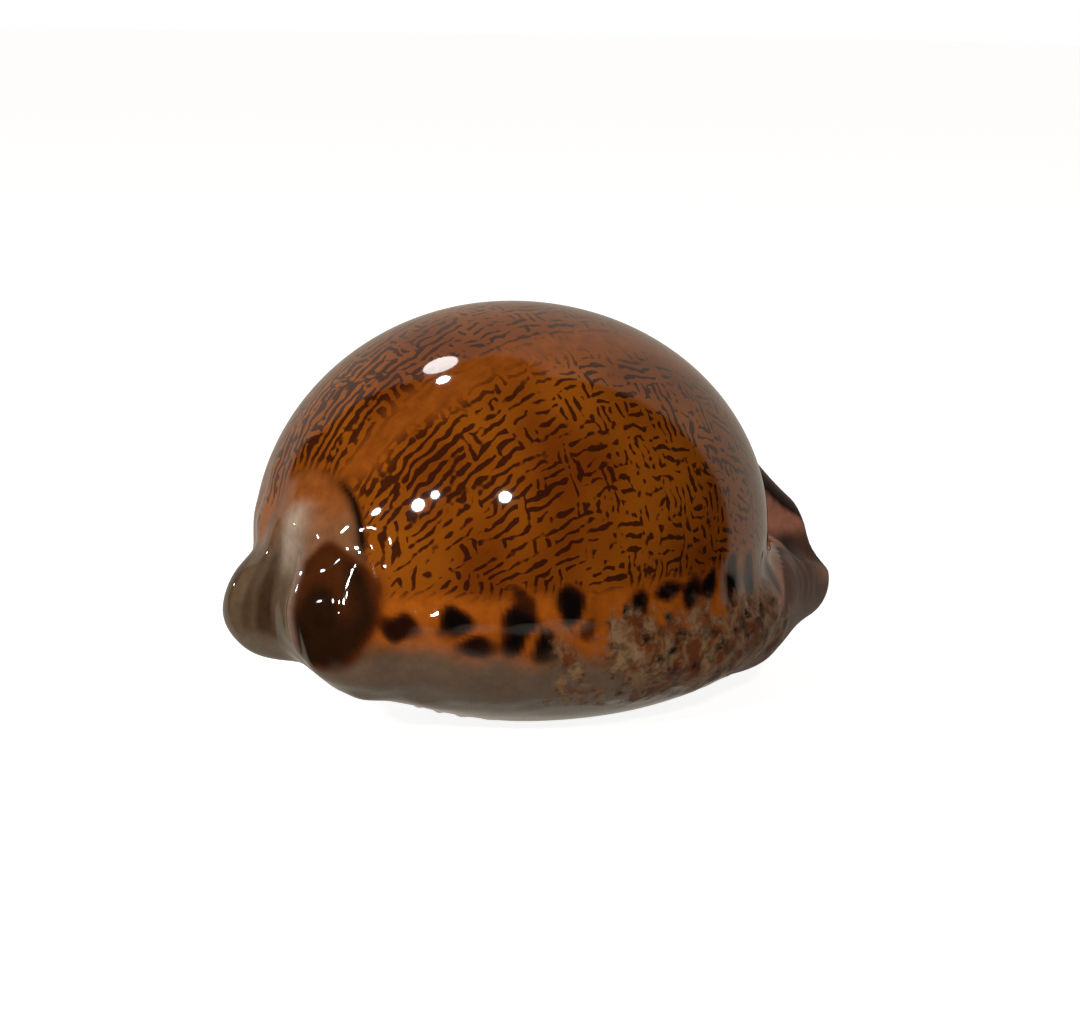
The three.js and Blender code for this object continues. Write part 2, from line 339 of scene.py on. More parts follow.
def addRelief(rows):
    # moves outside points along the surface's normal by ridge, wrinkles and the margin's unevenness
    form = reliefForm
    place = rows[:, :shellForm["outerRows"]]
    x, y, z = place
    steps = form["slopeStep"] * np.eye(3)
    slope = np.stack([outerDistance(*(place + step[:, None, None])) -
                      outerDistance(*(place - step[:, None, None])) for step in steps])
    slope /= np.maximum(np.sqrt((slope ** 2).sum(axis=0)), 1e-9)

    height = form["ridge"][2] * ribShape(x, y, z) + form["foldHeight"] * foldWave(x, y, z)
    marginal = np.maximum(plateau(z, *form["waveHeights"]), between(x, *form["waveBack"]))
    height += bumps(place, *form["wave"]) * marginal * between(x, *form["waveFront"])
    rollZ, rollHalf, swell = form["roll"]
    rolled = bell(z, rollZ, rollHalf) * plateau(x, *form["rollSpan"])
    lumpy = between(x, *form["lumpBack"]) * between(y, *form["lumpSide"]) * between(z, *form["lumpTop"])
    height += bumps(place, *form["lump"]) * np.maximum(lumpy, rolled) + swell * rolled
    height += bumps(place, *form["pit"]) * wornReach(x, y, z, 0)
    rows[:, :shellForm["outerRows"]] = place + slope * height
    return rows


marginForm = {
    "foot": (17.8, 15.8),        # the orange margin starts over these heights, from the script down
    "footWave": 0.3,
    "mantle": (0.37, 0.065),     # mantle line: radians from crown to labral side, half width
    "mantleWave": 0.02,
    "callusTop": (11.8, 8.6),    # the grey callus starts over these heights
    "callusWave": 0.25,
    "callusRise": (-20.0, 0.12),    # behind this x its top goes up by this much a millimetre
    "callusOverBlot": 0.5,
    # the eroded patch on the labral margin: x and height of its middle, half length and height
    "wornMiddle": (3.5, 8.6),
    "wornHalf": (18.5, 5.8),
    "wornEdge": (1.1, 0.7),
    "wornWaves": (0.14, 0.08),
    # blots on the near margin: x, height, half length, half height, strength
    "blots": (
        (-29.0, 13.4, 1.4, 1.3, 0.8), (-24.6, 14.0, 1.3, 1.5, 1.0), (-22.6, 11.4, 1.7, 1.2, 0.85),
        (-19.3, 13.4, 1.2, 3.0, 1.0), (-16.3, 11.2, 1.2, 1.9, 1.0), (-14.6, 15.6, 1.3, 1.9, 1.0),
        (-12.4, 13.0, 0.9, 1.2, 0.5), (-6.6, 14.6, 1.0, 1.8, 0.95), (-5.6, 10.0, 1.0, 2.4, 0.85),
        (-2.8, 16.2, 1.7, 1.0, 1.0), (0.4, 15.4, 1.5, 1.6, 1.0), (3.2, 15.8, 1.1, 1.5, 1.0),
        (7.4, 15.6, 1.1, 3.0, 1.0), (10.8, 14.6, 0.9, 3.2, 1.0), (14.4, 15.6, 0.8, 2.4, 0.8),
        (17.4, 14.8, 0.8, 2.0, 0.7),
    ),
    # the far margin's own: first x, last x and gap, then the ranges that each blot is drawn from
    "farBlots": (-27.0, 22.0, 3.4),
    "farRanges": ((11.0, 16.5), (1.0, 1.8), (1.2, 2.6), (0.7, 1.0)),
    "blotSeed": 5,
    "blotWave": (2.4, 0.16, 11),
    "blotEdge": (1.6, 0.45),
    "blotCore": (0.2, 1.0),      # darkness over which a blot turns from its brown fringe to black
    "fringe": (0.0, 0.65),
    "fringeShare": 0.85,
    # pale drips that run down over the blots: x, half width, height from, height to
    "drips": (
        (5.4, 0.4, 13.5, 17.5), (9.2, 0.5, 12.0, 18.5),
        (12.6, 0.6, 9.0, 17.0), (16.0, 0.6, 9.0, 17.0),
    ),
    "dripTaper": 0.8,
    "dripWave": 0.25,
    "dripEdge": (1.6, 0.5),
    "dripShare": 0.85,
}


def wornReach(x, y, z, uneven):
    # 1 within the eroded patch, an ellipse on the labral margin, and 0 outside it
    wornX, wornZ = marginForm["wornMiddle"]
    halfX, halfZ = marginForm["wornHalf"]
    reach = np.sqrt(((x - wornX) / halfX) ** 2 + ((z - wornZ) / halfZ) ** 2)
    return (y < 0) * between(reach + uneven, *marginForm["wornEdge"])


def blotMask(x, y, z, place):
    # darkest blot at each point: 1 inside an ellipse with a fuzzy, wavy edge
    wave = bumps(place, *marginForm["blotWave"])
    draw = np.random.default_rng(marginForm["blotSeed"])
    blots = [(*blot, -1) for blot in marginForm["blots"]]
    for blotX in np.arange(*marginForm["farBlots"]):
        blotX += draw.uniform(-1, 1)
        blots.append((blotX, *(draw.uniform(*ends) for ends in marginForm["farRanges"]), 1))
    mask = np.zeros_like(x)
    for blotX, blotZ, halfLength, halfHeight, strength, side in blots:
        reach = np.sqrt(((x - blotX) / halfLength) ** 2 + ((z - blotZ) / halfHeight) ** 2) + wave
        mask = np.maximum(mask, strength * between(reach, *marginForm["blotEdge"]) * (y * side > 0))
    return mask


def marginTints(x, y, z, turn, soft, blot):
    # orange margin, mantle line on the hump, blots with brown fringes, grey callus, pale drips
    form = marginForm
    riseFrom, rise = form["callusRise"]
    callus = z + form["callusWave"] * soft - rise * np.maximum(riseFrom - x, 0)
    drip = np.zeros_like(x)
    for dripX, halfWidth, low, high in form["drips"]:
        side = np.abs(x - dripX - form["dripWave"] * soft) / halfWidth
        run = plateau(z, low - form["dripTaper"], low, high, high + form["dripTaper"])
        drip = np.maximum(drip, between(side, *form["dripEdge"]) * run)
    mantle, mantleHalf = form["mantle"]
    return {
        "margin": between(z + form["footWave"] * soft, *form["foot"]),
        "mantle": bell(turn, mantle + form["mantleWave"] * soft, mantleHalf),
        "fringe": form["fringeShare"] * between(blot, *form["fringe"]),
        "blot": between(blot, *form["blotCore"]),
        "callus": between(callus, *form["callusTop"]) * (1 - form["callusOverBlot"] * blot),
        "drip": form["dripShare"] * drip * (y < 0),
    }


posteriorForm = {
    "spread": (18.5, 7.0, 1.05),     # from this z, over this rise, the hood's tint spreads by this
    "hoodEdge": (-0.25, 0.2),
    "hoodFoot": (15.5, 18.5),
    "hoodPink": (25.4, 21.8),        # heights over which the hood's orange turns to pinkish brown
    "hoodWave": 0.4,
    "tailStart": -26.0,              # the grey columellar side
    "tailEnd": (-29.0, -31.0),
    "tailTop": (23.0, 18.5),
    "tailSlant": 0.2,
    "stripePeriod": 7.0,             # its grey and brown bands
    "stripeAt": 1.5,
    "stripeLean": (14.0, 0.1),
    "stripeWave": 0.3,
    "stripeSecond": (0.6, 2.7, 1.0),    # a finer band's strength, rate and phase
    "stripeEdge": (-0.9, 1.0),
    "stripeSpan": (8.5, 12.0, 17.0, 21.0),
    "paintedReflection": (-1.6, 2.0),             # painted reflection: a pale haze between hood and columellar side, y and half width
    "paintedReflectionSpan": (15.5, 20.0, 22.5, 26.0),
    "lobeTop": (18.2, 20.4),         # the dark labral lobe's top beside the ridge and farther out
    "lobeTopRun": (-3.8, -7.5),
    "lobeDrop": 1.6,                 # and how much it falls again towards the margin
    "lobeDropRun": (-11.5, -14.0),
    "lobeTopWave": 0.4,
    "lobeTopFade": (1.6, -1.4),
    "lobeFoot": (7.4, 9.6),
    "lobeEdge": -29.4,               # x of its border with the margin, with two leans by height
    "lobeLean": (17.0, 0.35),
    "lobeStep": (14.0, 17.0),
    "lobeStepBack": 0.5,
    "lobeEdgeWave": 0.3,
    "lobeEdgeFade": (0.9, -1.1),
    "lobeRim": (0.0, 0.5),
    "lobeCore": (0.25, 1.0),
    "glow": (-0.4, 1.4),             # browner towards the top
    "glowLean": (14.0, 0.25),
    "glowShare": 0.55,
    "ridgeShare": 0.8,               # the pale ridge's tint
    "creaseShadeHalf": 0.3,               # painted shade: black along the crease between hood and hump
    "creaseShadeFoot": (18.5, 21.5),
    "creaseShadeRun": (-4.5, -7.0),
    "creaseShadeFaint": 0.3,
}


def posteriorTints(x, y, z, soft, backGap, atBack, labral):
    # orange to pink hood, grey striped far side, painted reflection as a pale haze, dark labral lobe, pale
    # ridge, black crease of painted shade
    form = posteriorForm
    spreadFrom, spreadRise, spreadGap = form["spread"]
    hoodGap = backGap + spreadGap * np.clip((z - spreadFrom) / spreadRise, 0, 1)
    hood = (x < 0) * between(hoodGap, *form["hoodEdge"]) * between(z, *form["hoodFoot"])
    back = (x < form["tailStart"]) * np.maximum(atBack, between(x, *form["tailEnd"]))
    tail = back * (1 - labral) * between(z + form["tailSlant"] * y, *form["tailTop"])
    leanZ, lean = form["stripeLean"]
    turn = 2 * math.pi * (y - form["stripeAt"] + lean * (z - leanZ)) / form["stripePeriod"]
    second, rate, phase = form["stripeSecond"]
    band = np.cos(turn + form["stripeWave"] * soft) + second * np.cos(rate * turn + phase)
    reflectionY, reflectionHalf = form["paintedReflection"]

    drop = form["lobeDrop"] * between(y, *form["lobeDropRun"])
    lobeTop = mix(*form["lobeTop"], between(y, *form["lobeTopRun"])) - drop + form["lobeTopWave"] * soft
    leanZ, lean = form["lobeLean"]
    lobeEdge = (form["lobeEdge"] - form["lobeStepBack"] * between(z, *form["lobeStep"]) -
                lean * np.maximum(leanZ - z, 0) + form["lobeEdgeWave"] * soft)
    lobe = (x < 0) * labral * between(z - lobeTop, *form["lobeTopFade"])
    lobe *= between(x - lobeEdge, *form["lobeEdgeFade"]) * between(z, *form["lobeFoot"])
    core = between(lobe, *form["lobeCore"])
    glowZ, lean = form["glowLean"]
    # painted shade along the crease between hood and hump
    crease = bell(hoodGap, 0, form["creaseShadeHalf"]) * (x < 0) * between(z, *form["creaseShadeFoot"])
    return {
        "hoodTop": hood,
        "hood": hood * between(z + form["hoodWave"] * soft, *form["hoodPink"]),
        "tail": tail,
        "stripe": tail * between(band, *form["stripeEdge"]) * plateau(z, *form["stripeSpan"]),
        # painted reflection: a pale haze in place of the backdrop mirrored in the glaze
        "paintedReflection": atBack * bell(y, reflectionY, reflectionHalf) * plateau(z, *form["paintedReflectionSpan"]),
        "lobeRim": between(lobe, *form["lobeRim"]),
        "lobe": core,
        "lobeGlow": form["glowShare"] * core * between(soft + lean * (z - glowZ), *form["glow"]),
        "ridge": form["ridgeShare"] * ribShape(x, y, z),
        # painted shade in the crease, fainter towards the columellar side
        "crease": crease * mix(form["creaseShadeFaint"], 1.0, between(y, *form["creaseShadeRun"])),
    }


anteriorForm = {
    "beakFrom": -1.0,                # distances from the scoop's wall
    "scoopEdge": (1.0, 0.25),
    "rimSpan": (0.25, 0.7, 1.7, 2.6),
    "rimFoot": (13.0, 14.5),
    "lobeStart": 20.0,               # the near lobe starts past this x, on a slant in y
    "lobeSlant": 0.5,
    "lobeEdge": (15.5, 17.5),
    "lobeTop": (15.8, 14.2),
    "tipEdge": (30.5, 34.0),
    "tipFoot": (9.0, 12.0),
    "wrinkleShare": 0.75,
    "foldShadow": (0.15, 0.4),             # painted shadow as a dark line where scoop and lobe meet: distance, half width
    "foldShadowTop": (15.5, 14.0),
    "foldShadowShare": 0.8,
}


def anteriorTints(x, y, z, atFront, scoopGap):
    # brown beak, pink scoop, dark rim, painted shadow where scoop and lobe meet, wrinkled grey lobe with a
    # pinker tip
    form = anteriorForm
    lobe = (x > form["lobeStart"]) * between(x + form["lobeSlant"] * y, *form["lobeEdge"])
    lobe = lobe * between(z, *form["lobeTop"]) * (y < 0)
    return {
        "beak": atFront * (scoopGap > form["beakFrom"]),
        "scoop": atFront * between(scoopGap, *form["scoopEdge"]),
        "rim": atFront * plateau(scoopGap, *form["rimSpan"]) * between(z, *form["rimFoot"]),
        "nearLobe": lobe,
        "lobeTip": lobe * between(x, *form["tipEdge"]) * between(z, *form["tipFoot"]),
        "wrinkle": form["wrinkleShare"] * foldWave(x, y, z),
        # painted shadow where scoop and lobe meet
        "foldShadow": form["foldShadowShare"] * atFront * bell(scoopGap, *form["foldShadow"]) * between(z, *form["foldShadowTop"]),
    }


zoneForm = {
    "axisZ": 10.0,               # height of the axis that angles round the shell are taken about
    "soft": (6.0, 1.0, 3),       # noises that wave the zones' edges: wavelength, height, seed
    "fine": (1.6, 1.0, 4),
    "labral": (-3.2, -4.4),      # y over which the labral side starts
    "limbEdge": (-0.15, 0.25),   # how far past the hump a limb's tints start
    "soleTop": (4.0, 1.6),
    "soleSide": (17.0, 14.0),
    "soleWave": 0.5,
    "toothStart": (0.9, 0.97),   # share of the outside's rows
    "toothShare": 0.8,
    "hollowFrom": 8,             # rows past the slot's edge where the inside's tint starts
    "maze": (-16.0, -8.0),       # x, then angle from the crown, over which strokes turn to a maze
    "mazeWave": 2.0,
    "mazeAngle": (0.5, 0.62),
    "fan": (-16.0, -24.0),       # x, then height, over which the lines fan out above the hood
    "fanHeight": (23.0, 27.0),
    "flow": (-4.0, 36.0),        # the written lines' spindle: middle and half length
    "flowRadius": 24.0,
    "flowLeast": 0.12,
}


def zoneMasks(place, crest):
    # one mask for each tint, in the order they are laid over one another, and the script's own
    x, y, z = place
    turn = np.arctan2(-y, z - zoneForm["axisZ"])    # 0 at the crown, positive towards the labral side
    outerRows, lipRows = shellForm["outerRows"], shellForm["lipRows"]
    row = np.arange(place.shape[1])[:, None] + 0 * x
    outside = (row < outerRows).astype(float)
    soft = bumps(place, *zoneForm["soft"])
    fine = bumps(place, *zoneForm["fine"])
    hump = humpDistance(x, y, z, shellForm["hump"])
    backGap = hump - limbDistance(x, y, z, shellForm["posterior"])
    frontGap = hump - limbDistance(x, y, z, shellForm["anterior"])
    scoopGap = barDistance(x, y, z, *shellForm["scoop"])
    atBack = (x < 0) * between(backGap, *zoneForm["limbEdge"])
    atFront = (x > 0) * between(frontGap, *zoneForm["limbEdge"])
    labral = between(y, *zoneForm["labral"])

    tint = marginTints(x, y, z, turn, soft, blotMask(x, y, z, place))
    tint.update(posteriorTints(x, y, z, soft, backGap, atBack, labral))
    tint.update(anteriorTints(x, y, z, atFront, scoopGap))
    soleHeight = z + zoneForm["soleWave"] * soft
    tint["sole"] = between(soleHeight, *zoneForm["soleTop"]) * between(np.abs(y), *zoneForm["soleSide"])
    for name in tint:
        tint[name] = tint[name] * outside
    onLip = between(row / outerRows, *zoneForm["toothStart"]) * (row < outerRows + lipRows)
    tint["tooth"] = zoneForm["toothShare"] * onLip * crest
    tint["inside"] = between(row, outerRows + zoneForm["hollowFrom"], outerRows + lipRows)

    bare = outside
    for name, share in tint.items():
        bare = bare * (1 - share)
    maze = between(x + zoneForm["mazeWave"] * soft, *zoneForm["maze"])
    maze *= between(turn, *zoneForm["mazeAngle"])
    softEdge, fineEdge = marginForm["wornWaves"]
    own = {"script": bare, "maze": maze, "flow": flowCoordinates(x, turn),
           "fan": between(x, *zoneForm["fan"]) * between(z, *zoneForm["fanHeight"]) * outside,
           "worn": wornReach(x, y, z, softEdge * soft + fineEdge * fine) * outside,
           "dull": np.maximum(atFront, tint["nearLobe"]) * outside}
    return tint, own


def flowCoordinates(x, turn):
    # along is the distance down the shell's length; across is the angle round it times a radius
    # that shrinks towards the ends, so the written lines stay a steady gap apart
    middleX, halfLength = zoneForm["flow"]
    share = 1 - ((x - middleX) / halfLength) ** 2
    radius = zoneForm["flowRadius"] * np.sqrt(np.clip(share, zoneForm["flowLeast"], 1))
    return np.stack([x, turn * radius, 0 * x])


tints = {
    "margin": "#9c4e11",
    "mantle": "#844210",
    "fringe": "#3a1206",
    "blot": "#0c0706",
    "callus": "#5e4632",
    "drip": "#7a6456",
    "hoodTop": "#8a4a1c",
    "hood": "#7c5236",
    "tail": "#604c38",
    "stripe": "#3c2a1b",
    # painted reflection, a pale haze on the posterior end
    "paintedReflection": "#a48c78",
    "lobeRim": "#4e220a",
    "lobe": "#261408",
    "lobeGlow": "#54280e",
    "ridge": "#8c7060",
    # painted shade in the crease between hood and hump
    "crease": "#0e0604",
    "beak": "#5e2e20",
    "scoop": "#c8846a",
    "rim": "#2c0c06",
    "nearLobe": "#684c42",
    "lobeTip": "#b07a60",
    "wrinkle": "#7c5c4e",
    # painted shadow where scoop and lobe meet
    "foldShadow": "#2a1a14",
    "sole": "#a8927a",
    "tooth": "#5a2c14",
    "inside": "#9a94a0",
}


def layTints(shares):
    # linear colour at every point: each tint laid over those before it by its share
    linear = {name: np.array(linearColour(tints[name])[:3])[:, None, None] for name in shares}
    colour = linear["margin"] * np.ones_like(shares["margin"])
    for name, share in shares.items():
        colour = mix(colour, linear[name], np.clip(share, 0, 1))
    return colour


rows = addRelief(rows)
tintShares, masks = zoneMasks(rows, crest)
masks["tint"] = layTints(tintShares)
print("zones", ", ".join(tintShares))


def closedGridMesh(name, rows, crown, roof):
    # Quads between neighbouring rows and columns, and a fan of triangles at each pole. In the map,
    # across is round the shell and up is from crown to slot to hollow, mostly for the outside.
    rowCount, columns = rows.shape[1:]
    points = np.concatenate([crown[None], rows.reshape(3, -1).T, roof[None]])
    points[:, :2] -= middle
    points[:, 2] = np.maximum(points[:, 2], 0)
    at = 1 + np.arange(rowCount * columns).reshape(rowCount, columns)
    beside = np.roll(at, -1, axis=1)
    column = np.arange(columns)[None, :] + 0 * at[:-1]
    row = np.arange(rowCount - 1)[:, None] + 0 * at[:-1]
    quads = np.stack([at[:-1], at[1:], beside[1:], beside[:-1]], axis=-1)
    quadColumn = np.stack([column, column, column + 1, column + 1], axis=-1)
    quadRow = np.stack([row, row + 1, row + 1, row], axis=-1)
    fan = column[0]
    top = np.stack([0 * fan, at[0], beside[0]], axis=-1)
    end = np.stack([0 * fan + len(points) - 1, beside[-1], at[-1]], axis=-1)
    topColumn = np.stack([fan + 0.5, fan, fan + 1], axis=-1)
    endColumn = np.stack([fan + 0.5, fan + 1, fan], axis=-1)
    corners = np.concatenate([quads.ravel(), top.ravel(), end.ravel()])
    across = np.concatenate([quadColumn.ravel(), topColumn.ravel(), endColumn.ravel()]) / columns
    topRow = np.tile([-1, 0, 0], columns)
    endRow = np.tile([rowCount, rowCount - 1, rowCount - 1], columns)
    knots = (-1, shellForm["outerRows"] - 1, shellForm["outerRows"] + shellForm["lipRows"], rowCount)
    up = np.interp(np.concatenate([quadRow.ravel(), topRow, endRow]), knots, shellForm["mapHeights"])
    sizes = np.concatenate([np.full(quads.size // 4, 4), np.full(2 * columns, 3)])
    mesh = bpy.data.meshes.new(name)
    mesh.vertices.add(len(points))
    mesh.vertices.foreach_set("co", (points * millimetre).ravel())
    mesh.loops.add(len(corners))
    mesh.loops.foreach_set("vertex_index", corners)
    mesh.polygons.add(len(sizes))
    mesh.polygons.foreach_set("loop_start", np.concatenate([[0], np.cumsum(sizes)[:-1]]))
    mesh.polygons.foreach_set("use_smooth", np.ones(len(sizes), bool))
    mesh.update()
    layer = mesh.uv_layers.new(name="OFBake")
    edge = shellForm["mapEdge"]
    layer.data.foreach_set("uv", mix(edge, 1 - edge, np.stack([across, up], axis=-1)).ravel())
    return mesh


def storeAttribute(mesh, name, values):
    # one value or one vector per vertex; the poles take the mean of the row beside them
    values = values[None] if values.ndim == 2 else values
    poles = values[:, (0, -1), :].mean(axis=-1)
    flat = np.concatenate([poles[:, :1], values.reshape(len(values), -1), poles[:, 1:]], axis=1).T
    kind, field = ("FLOAT_VECTOR", "vector") if len(values) == 3 else ("FLOAT", "value")
    layer = mesh.attributes.new(name, kind, "POINT")
    layer.data.foreach_set(field, flat.ravel().astype(np.float32))


mesh = closedGridMesh("cowrieShell", rows, crown, roof)
for name, values in masks.items():
    storeAttribute(mesh, name, values)
shell = bpy.data.objects.new("cowrieShell", mesh)
bpy.context.collection.objects.link(shell)
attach(shell, "root")
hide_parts("cowrie_shell")
print("shell mesh", len(mesh.polygons), "faces")


enamel = {
    "amber": "#8e4a0c",
    "deepAmber": "#6e3206",
    "ink": "#2c0e08",
    "wornPale": "#8a6a4a",
    "wornRust": "#6c381a",
    "wornDark": "#1e130c",
    # noises by what they vary: scale is features per millimetre
    "noises": {
        "depth": {"Scale": 0.09, "Detail": 2.0},
        "patches": {"Scale": 0.42, "Detail": 0.0},
        "breaks": {"Scale": 1.0, "Detail": 1.0},
        "speck": {"Scale": 0.9, "Detail": 5.0, "Roughness": 0.7},
        "rust": {"Scale": 0.5, "Detail": 4.0, "Roughness": 0.6, "Distortion": 0.5},
        "mottle": {"Scale": 0.6, "Detail": 3.0, "Roughness": 0.6},
    },
    "wobble": {"Scale": 0.45, "Detail": 1.0},
    "wander": 1.4,           # millimetres that the wobble moves a line
    "scriptGap": 0.94,       # millimetres between written lines
    "groupSize": 3.0,        # millimetres across one group of parallel strokes
    # strokes along the shell and across it: direction in degrees, share of the group size, order
    "strokes": ((90, 1.0, 0.985), (0, 0.75, 0.95)),
    "crossLimit": (0.60, 0.485),    # patches above this run across: outside the maze, then in it
    "crossEdge": 0.02,
    "breakShift": (-0.42, 0.36),    # ink taken away and added by the breaks
    "breakShare": (0.6, 1.0),       # outside the maze, then in it
    "strokeEdge": (0.515, 0.60),
    "inkShare": 0.9,
    "fanInk": 0.09,          # more ink where the lines fan out above the posterior hood
    "depthEdge": (0.35, 0.65),
    "rustEdge": (0.42, 0.58),
    "darkEdge": (0.48, 0.7),
    "speckEdge": (0.32, 0.66),
    "speckShift": (-0.6, 1.3),
    "mottleEdge": (0.3, 0.7),
    "mottleGain": (0.8, 1.2),
    "roughness": (0.045, 0.42),     # glazed, then worn or dull
    "shine": (0.5, 0.1),
    "pitStrength": 0.5,
    "pitDepth": 0.2,
    "ior": 1.53,
}


def glazedAragonite(look):
    # Aragonite shell laid down and polished by the animal's mantle: a clear, wet-looking glaze
    # over brown script that seems to lie a little under the surface.
    material = bpy.data.materials.new("aragoniteEnamelMantlePolished")
    material.use_nodes = True
    tree = material.node_tree
    tree.nodes.clear()
    own = {name: addNode(tree, "Attribute", {"attribute_name": name}, {}) for name in masks}
    here = addNode(tree, "TexCoord", {}, {})["Object"]
    inMm = addNode(tree, "VectorMath", {"operation": "SCALE"}, {0: here, "Scale": 1 / millimetre})[0]
    noise = {name: addNode(tree, "TexNoise", {}, {"Vector": inMm, **settings})["Fac"]
             for name, settings in look["noises"].items()}

    # written lines: groups of parallel strokes along the shell, or across it in the maze
    wobble = addNode(tree, "TexNoise", {}, {"Vector": inMm, **look["wobble"]})["Color"]
    centred = addNode(tree, "VectorMath", {"operation": "SUBTRACT"}, {0: wobble, 1: (0.5, 0.5, 0.5)})[0]
    shift = addNode(tree, "VectorMath", {"operation": "SCALE"}, {0: centred, "Scale": look["wander"]})[0]
    bent = addNode(tree, "VectorMath", {"operation": "ADD"}, {0: own["flow"]["Vector"], 1: shift})[0]
    strokes = []
    for turn, sizeShare, order in look["strokes"]:
        size = sizeShare * look["groupSize"]
        strokes.append(addNode(tree, "TexGabor", {"gabor_type": "2D"}, {
            "Vector": bent, "Scale": 1 / size, "Frequency": size / look["scriptGap"],
            "Anisotropy": order, 4: math.radians(turn)})["Value"])
    limit = addNode(tree, "MapRange", {}, {
        "Value": own["maze"]["Fac"], "To Min": look["crossLimit"][0], "To Max": look["crossLimit"][1]})[0]
    above = addNode(tree, "Math", {"operation": "SUBTRACT"}, {0: noise["patches"], 1: limit})[0]
    crossShare = addNode(tree, "MapRange", {}, {
        "Value": above, "From Min": -look["crossEdge"], "From Max": look["crossEdge"]})[0]
    stroke = addNode(tree, "Mix", {"data_type": "FLOAT"}, {0: crossShare, 2: strokes[0], 3: strokes[1]})[0]
    breakShift = addNode(tree, "MapRange", {}, {
        "Value": noise["breaks"], "To Min": look["breakShift"][0], "To Max": look["breakShift"][1]})[0]
    broken = addNode(tree, "MapRange", {}, {
        "Value": own["maze"]["Fac"], "To Min": look["breakShare"][0], "To Max": look["breakShare"][1]})[0]
    breakShift = addNode(tree, "Math", {"operation": "MULTIPLY"}, {0: breakShift, 1: broken})[0]
    fanned = addNode(tree, "Math", {"operation": "MULTIPLY_ADD"}, {
        0: own["fan"]["Fac"], 1: look["fanInk"], 2: breakShift})[0]
    stroke = addNode(tree, "Math", {"operation": "ADD"}, {0: stroke, 1: fanned})[0]
    written = addNode(tree, "MapRange", {"interpolation_type": "SMOOTHSTEP"}, {
        "Value": stroke, "From Min": look["strokeEdge"][0], "From Max": look["strokeEdge"][1],
        "To Max": look["inkShare"]})[0]

    # how far each noise has got from one end of its range to the other
    shares = {}
    for name, source in (("depth", "depth"), ("rust", "rust"), ("dark", "mottle")):
        start, end = look[name + "Edge"]
        shares[name] = addNode(tree, "MapRange", {}, {
            "Value": noise[source], "From Min": start, "From Max": end})[0]

    # the worn patch, frayed and speckled, and a light mottling of the zones' tints
    fray = addNode(tree, "MapRange", {}, {
        "Value": noise["speck"], "From Min": look["speckEdge"][0], "From Max": look["speckEdge"][1],
        "To Min": look["speckShift"][0], "To Max": look["speckShift"][1]})[0]
    frayed = addNode(tree, "Math", {"operation": "ADD"}, {0: fray, 1: own["worn"]["Fac"]})[0]
    worn = addNode(tree, "Math", {"operation": "MULTIPLY", "use_clamp": True}, {
        0: frayed, 1: own["worn"]["Fac"]})[0]
    mottle = addNode(tree, "MapRange", {}, {
        "Value": noise["mottle"], "From Min": look["mottleEdge"][0], "From Max": look["mottleEdge"][1],
        "To Min": look["mottleGain"][0], "To Max": look["mottleGain"][1]})[0]
    tinted = addNode(tree, "VectorMath", {"operation": "SCALE"}, {
        0: own["tint"]["Vector"], "Scale": mottle})[0]

    # colours laid over one another: worn crust; script ground and ink; then tints, script and crust
    crust = linearColour(look["wornPale"])
    for name, share in (("wornRust", shares["rust"]), ("wornDark", shares["dark"])):
        crust = addNode(tree, "Mix", {"data_type": "RGBA"}, {
            0: share, 6: crust, 7: linearColour(look[name])})[2]
    script = linearColour(look["amber"])
    for name, share in (("deepAmber", shares["depth"]), ("ink", written)):
        script = addNode(tree, "Mix", {"data_type": "RGBA"}, {
            0: share, 6: script, 7: linearColour(look[name])})[2]
    colour = tinted
    for over, share in ((script, own["script"]["Fac"]), (crust, worn)):
        colour = addNode(tree, "Mix", {"data_type": "RGBA"}, {0: share, 6: colour, 7: over})[2]

    matte = addNode(tree, "Math", {"operation": "MAXIMUM"}, {0: worn, 1: own["dull"]["Fac"]})[0]
    roughness = addNode(tree, "MapRange", {}, {
        "Value": matte, "To Min": look["roughness"][0], "To Max": look["roughness"][1]})[0]
    shine = addNode(tree, "MapRange", {}, {
        "Value": matte, "To Min": look["shine"][0], "To Max": look["shine"][1]})[0]
    pitting = addNode(tree, "Math", {"operation": "MULTIPLY"}, {0: noise["speck"], 1: worn})[0]
    pitted = addNode(tree, "Bump", {}, {
        "Strength": look["pitStrength"], "Distance": look["pitDepth"] * millimetre, "Height": pitting})[0]
    surface = addNode(tree, "BsdfPrincipled", {}, {
        "Base Color": colour, "Roughness": roughness, "IOR": look["ior"], "Specular IOR Level": shine,
        "Normal": pitted})["BSDF"]
    addNode(tree, "OutputMaterial", {}, {"Surface": surface})
    return material


mesh.materials.append(glazedAragonite(enamel))
print("material done")


studio = {
    "floorHalf": 6.0,            # metres
    "floorColour": "#c8c6c2",
    "floorRoughness": 0.9,
    "floorShine": 0.1,
    "floorGlow": 0.9,
    "wallColour": "#fff4e2",
    "wallAzimuth": 140,
    "wallEdge": (0.42, 0.50),    # the wall's sides: cosine of the angle from its middle
    "wallTop": (0.96, 0.93),     # its top: sine of the elevation
    "underTop": (-0.6, -0.84),   # below this it is bright all round
    "panelShare": 0.42,
    "frontShare": 0.008,
    # small lamps: azimuth and elevation of the way to each, degrees; width in metres; watts
    "lamps": (
        (-66.8, 24.9, 0.055, 1.2), (-59.5, 30.3, 0.035, 0.5), (-25.4, 29.6, 0.05, 0.8),
        (-146.5, 73.1, 0.045, 0.5), (-172.4, 66.7, 0.11, 0.35), (-84.0, 21.0, 0.045, 0.3),
        (-104.0, 16.0, 0.04, 0.2), (-82.0, 3.5, 0.035, 0.2), (-148.0, 10.0, 0.02, 0.05),
    ),
    "lampDistance": 0.6,
    "lampCentre": (0, 0, 0.02),
}


